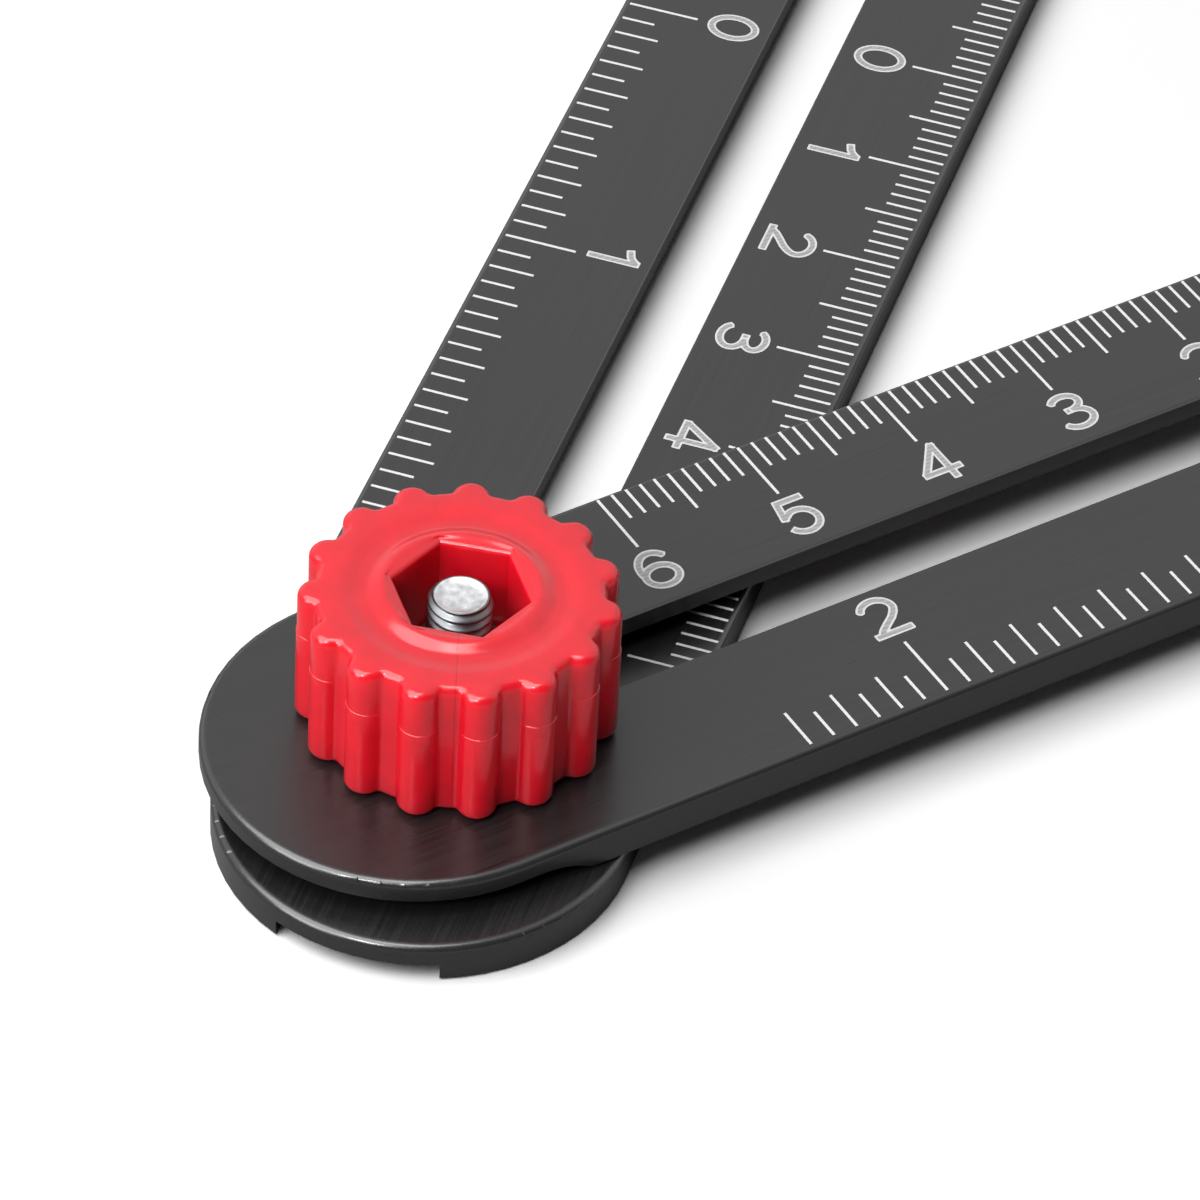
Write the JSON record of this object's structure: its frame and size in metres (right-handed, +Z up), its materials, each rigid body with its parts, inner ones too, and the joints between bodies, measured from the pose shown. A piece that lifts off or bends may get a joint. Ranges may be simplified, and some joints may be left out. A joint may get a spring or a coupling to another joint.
{
  "type": "folding angle ruler",
  "caption": "Folding template ruler: slotted flat arms pinned in two layers by lobed clamping knobs, set to copy angles and outlines",
  "frame": {"origin": "middle of the closed frame of arms, on the surface the lower arms lie on", "axes": "+X along the two lower arms, from the pictured sharp corner towards the next corner; +Z up, through the knobs; +Y across the lower arms"},
  "size_m": [0.294, 0.1278, 0.0152],
  "materials": {
    "arm_metal": "black anodised, finely brushed along the arm, satin",
    "bolt_steel": "bright zinc plated",
    "nut_steel": "zinc plated",
    "knob_plastic": "smooth glossy moulding"
  },
  "bodies": {
    "frame_base": {"lower_arm_a": "arm_metal", "bolt_b": "bolt_steel"},
    "corner_bolt_a": {"bolt_a": "bolt_steel"},
    "upper_a": {"upper_arm_a": "arm_metal"},
    "upper_b": {"upper_arm_b": "arm_metal"},
    "lower_b": {"lower_arm_b": "arm_metal", "bolt_c": "bolt_steel"},
    "corner_bolt_d": {"bolt_d": "bolt_steel"},
    "grip_a": {"knob_a": "knob_plastic", "hex_nut_a": "nut_steel"},
    "grip_b": {"knob_b": "knob_plastic", "hex_nut_b": "nut_steel"},
    "grip_c": {"knob_c": "knob_plastic", "hex_nut_c": "nut_steel"},
    "grip_d": {"knob_d": "knob_plastic", "hex_nut_d": "nut_steel"}
  },
  "joints": [
    {"name": "slide_a", "type": "slide", "parent": "frame_base", "child": "corner_bolt_a", "axis": [1, 0, 0], "range_m": [0, 0.075]},
    {"name": "fold", "type": "hinge", "parent": "corner_bolt_a", "child": "upper_a", "pos_m": [-0.12966, 0.04796, 0.00265], "axis": [0, 0, 1], "range_deg": [-118, 19]},
    {"name": "turn_knob_a", "type": "hinge", "parent": "corner_bolt_a", "child": "grip_a", "pos_m": [-0.12966, 0.04796, 0.0053], "axis": [0, 0, 1], "continuous": true},
    {"name": "fold_b", "type": "hinge", "parent": "frame_base", "child": "upper_b", "pos_m": [0.01774, 0.04796, 0.00265], "axis": [0, 0, 1], "range_deg": [-118, 19]},
    {"name": "turn_knob_b", "type": "hinge", "parent": "frame_base", "child": "grip_b", "pos_m": [0.01774, 0.04796, 0.0053], "axis": [0, 0, 1], "continuous": true},
    {"name": "slide_c", "type": "slide", "parent": "upper_b", "child": "grip_c", "axis": [-0.7593, 0.6508, 0], "range_m": [0, 0.075]},
    {"name": "fold_c", "type": "hinge", "parent": "grip_c", "child": "lower_b", "pos_m": [0.12966, -0.04796, 0.00265], "axis": [0, 0, 1], "range_deg": [-19, 118]},
    {"name": "slide_d", "type": "slide", "parent": "upper_a", "child": "grip_d", "axis": [-0.7593, 0.6508, 0], "range_m": [0, 0.075]},
    {"name": "fold_d", "type": "hinge", "parent": "grip_d", "child": "corner_bolt_d", "pos_m": [-0.01774, -0.04796, 0.00265], "axis": [0, 0, 1], "range_deg": [-19, 118]}
  ],
  "couplings": [
    {"joint": "fold_b", "follows": "fold", "ratio": 1},
    {"joint": "fold_c", "follows": "fold", "ratio": -1},
    {"joint": "fold_d", "follows": "fold", "ratio": -1},
    {"joint": "slide_d", "follows": "slide_c", "ratio": 1}
  ]
}
